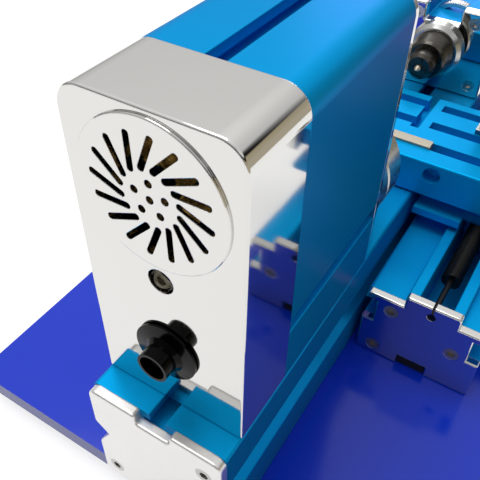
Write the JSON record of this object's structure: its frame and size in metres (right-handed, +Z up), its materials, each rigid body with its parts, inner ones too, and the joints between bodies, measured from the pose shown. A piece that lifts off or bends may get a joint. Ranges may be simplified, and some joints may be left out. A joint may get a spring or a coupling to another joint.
{
  "type": "small modular bench lathe",
  "caption": "Small modular bench lathe with a belt-driven polished headstock, profile bed, slotted cross table and tailstock on a blue base plate.",
  "frame": {"origin": "middle of the whole machine's outline seen from above, on the surface the feet stand on", "axes": "+X towards the operator's side, +Y along the spindle from headstock to tailstock, +Z up"},
  "size_m": [0.211, 0.3368, 0.1687],
  "materials": {
    "base_enamel": "glossy royal blue enamel",
    "rubber": "matt black",
    "blue_anodised": "satin blue anodised",
    "polished_alloy": "mirror polished",
    "steel": "turned and ground",
    "black_oxide": "oiled black oxide",
    "brass": "turned",
    "turned_aluminium": "fine turned",
    "black_plastic": "gloss black"
  },
  "bodies": {
    "machine": {"base_plate": "base_enamel", "rubber_feet": "rubber", "base_bolts": "steel", "bed_profile": "blue_anodised", "bed_front_plate": "polished_alloy", "bed_rear_plate": "polished_alloy", "bed_plate_screws": "steel", "headstock_body": "blue_anodised", "headstock_cap": "polished_alloy", "headstock_face_plate": "polished_alloy", "face_plate_screws": "steel", "headstock_studs": "steel", "cap_screw": "steel", "vent_disc": "polished_alloy", "power_inlet": "black_plastic", "motor": "steel", "drive_belt": "rubber", "spindle_bearings": "steel", "slide_bed": "blue_anodised", "slide_front_plate": "polished_alloy", "slide_rear_plate": "polished_alloy", "slide_plate_screws": "steel"},
    "spindle_unit": {"spindle": "steel", "spindle_pulley": "turned_aluminium", "hand_knob": "black_plastic", "chuck_body": "steel"},
    "scroll": {"chuck_ring": "steel"},
    "jaw_one": {"chuck_jaw_1": "steel"},
    "jaw_two": {"chuck_jaw_2": "steel"},
    "jaw_three": {"chuck_jaw_3": "steel"},
    "rotor": {"motor_shaft": "steel", "motor_pulley": "brass"},
    "carriage": {"saddle": "blue_anodised", "saddle_end_plate": "polished_alloy", "saddle_plate_screws": "steel"},
    "slide_feed": {"slide_screw": "black_oxide", "slide_handwheel": "turned_aluminium", "slide_handle": "black_plastic"},
    "table": {"cross_table": "blue_anodised", "slot_nut": "steel", "tool_post": "steel", "tool_post_screws": "steel"},
    "cross_feed": {"cross_screw": "black_oxide", "cross_handwheel": "turned_aluminium", "cross_handle": "black_plastic"},
    "tailstock": {"tailstock_body": "blue_anodised", "tailstock_front_plate": "polished_alloy", "tailstock_rear_plate": "polished_alloy", "tailstock_screws": "steel"},
    "tail_lock": {"tailstock_lock_knob": "black_plastic"},
    "quill_unit": {"quill": "steel", "drill_chuck_body": "black_oxide", "drill_centre": "steel"},
    "drill_sleeve": {"drill_chuck_sleeve": "black_oxide", "drill_chuck_ring": "black_oxide"},
    "drill_jaw_one": {"drill_jaw_1": "steel"},
    "drill_jaw_two": {"drill_jaw_2": "steel"},
    "drill_jaw_three": {"drill_jaw_3": "steel"},
    "quill_feed": {"quill_handwheel": "turned_aluminium", "quill_handle": "black_plastic"}
  },
  "joints": [
    {"name": "spindle_spin", "type": "hinge", "parent": "machine", "child": "spindle_unit", "pos_m": [-0.0085, -0.107, 0.091], "axis": [0, 1, 0], "continuous": true},
    {"name": "motor_spin", "type": "hinge", "parent": "machine", "child": "rotor", "pos_m": [-0.0085, -0.137, 0.1459], "axis": [0, 1, 0], "continuous": true},
    {"name": "scroll_turn", "type": "hinge", "parent": "spindle_unit", "child": "scroll", "pos_m": [-0.0085, -0.059, 0.091], "axis": [0, 1, 0], "range_deg": [-290, 420]},
    {"name": "jaw_slide_one", "type": "slide", "parent": "spindle_unit", "child": "jaw_one", "axis": [0, 0, 1], "range_m": [-0.0035, 0.0048]},
    {"name": "jaw_slide_two", "type": "slide", "parent": "spindle_unit", "child": "jaw_two", "axis": [0.866, 0, -0.5], "range_m": [-0.0035, 0.0048]},
    {"name": "jaw_slide_three", "type": "slide", "parent": "spindle_unit", "child": "jaw_three", "axis": [-0.866, 0, -0.5], "range_m": [-0.0035, 0.0048]},
    {"name": "carriage_slide", "type": "slide", "parent": "machine", "child": "carriage", "axis": [0, 1, 0], "range_m": [-0.01, 0.014]},
    {"name": "slide_wheel_turn", "type": "hinge", "parent": "machine", "child": "slide_feed", "pos_m": [0.0459, 0.043, 0.0504], "axis": [0, 1, 0], "range_deg": [-3700, 5100]},
    {"name": "table_slide", "type": "slide", "parent": "carriage", "child": "table", "axis": [1, 0, 0], "range_m": [-0.016, 0.012]},
    {"name": "cross_wheel_turn", "type": "hinge", "parent": "carriage", "child": "cross_feed", "pos_m": [0.0515, 0.00675, 0.0685], "axis": [1, 0, 0], "range_deg": [-5820, 4380]},
    {"name": "tailstock_slide", "type": "slide", "parent": "machine", "child": "tailstock", "axis": [0, 1, 0], "range_m": [0, 0.03]},
    {"name": "tail_lock_turn", "type": "hinge", "parent": "tailstock", "child": "tail_lock", "pos_m": [0.0165, 0.103, 0.078], "axis": [1, 0, 0], "range_deg": [-180, 180]},
    {"name": "quill_slide", "type": "slide", "parent": "tailstock", "child": "quill_unit", "axis": [0, 1, 0], "range_m": [-0.015, 0]},
    {"name": "quill_wheel_turn", "type": "hinge", "parent": "tailstock", "child": "quill_feed", "pos_m": [-0.0085, 0.123, 0.091], "axis": [0, 1, 0], "range_deg": [-5500, 60]},
    {"name": "sleeve_turn", "type": "hinge", "parent": "quill_unit", "child": "drill_sleeve", "pos_m": [-0.0085, 0.058, 0.091], "axis": [0, 1, 0], "range_deg": [0, 600]},
    {"name": "drill_jaw_slide_one", "type": "slide", "parent": "quill_unit", "child": "drill_jaw_one", "axis": [0, 0.9781, 0.2079], "range_m": [-0.0001, 0.0026]},
    {"name": "drill_jaw_slide_two", "type": "slide", "parent": "quill_unit", "child": "drill_jaw_two", "axis": [-0.1801, 0.9781, -0.104], "range_m": [-0.0001, 0.0026]},
    {"name": "drill_jaw_slide_three", "type": "slide", "parent": "quill_unit", "child": "drill_jaw_three", "axis": [0.1801, 0.9781, -0.104], "range_m": [-0.0001, 0.0026]}
  ],
  "couplings": [
    {"joint": "motor_spin", "follows": "spindle_spin", "ratio": 1.625},
    {"joint": "jaw_slide_one", "follows": "scroll_turn", "m_per_rad": 0.00063662},
    {"joint": "jaw_slide_two", "follows": "scroll_turn", "m_per_rad": 0.00063662},
    {"joint": "jaw_slide_three", "follows": "scroll_turn", "m_per_rad": 0.00063662},
    {"joint": "slide_wheel_turn", "follows": "carriage_slide", "rad_per_m": 6283.2},
    {"joint": "cross_wheel_turn", "follows": "table_slide", "rad_per_m": 6283.2},
    {"joint": "quill_wheel_turn", "follows": "quill_slide", "rad_per_m": 6283.2},
    {"joint": "drill_jaw_slide_one", "follows": "sleeve_turn", "m_per_rad": 0.00023873},
    {"joint": "drill_jaw_slide_two", "follows": "sleeve_turn", "m_per_rad": 0.00023873},
    {"joint": "drill_jaw_slide_three", "follows": "sleeve_turn", "m_per_rad": 0.00023873}
  ]
}
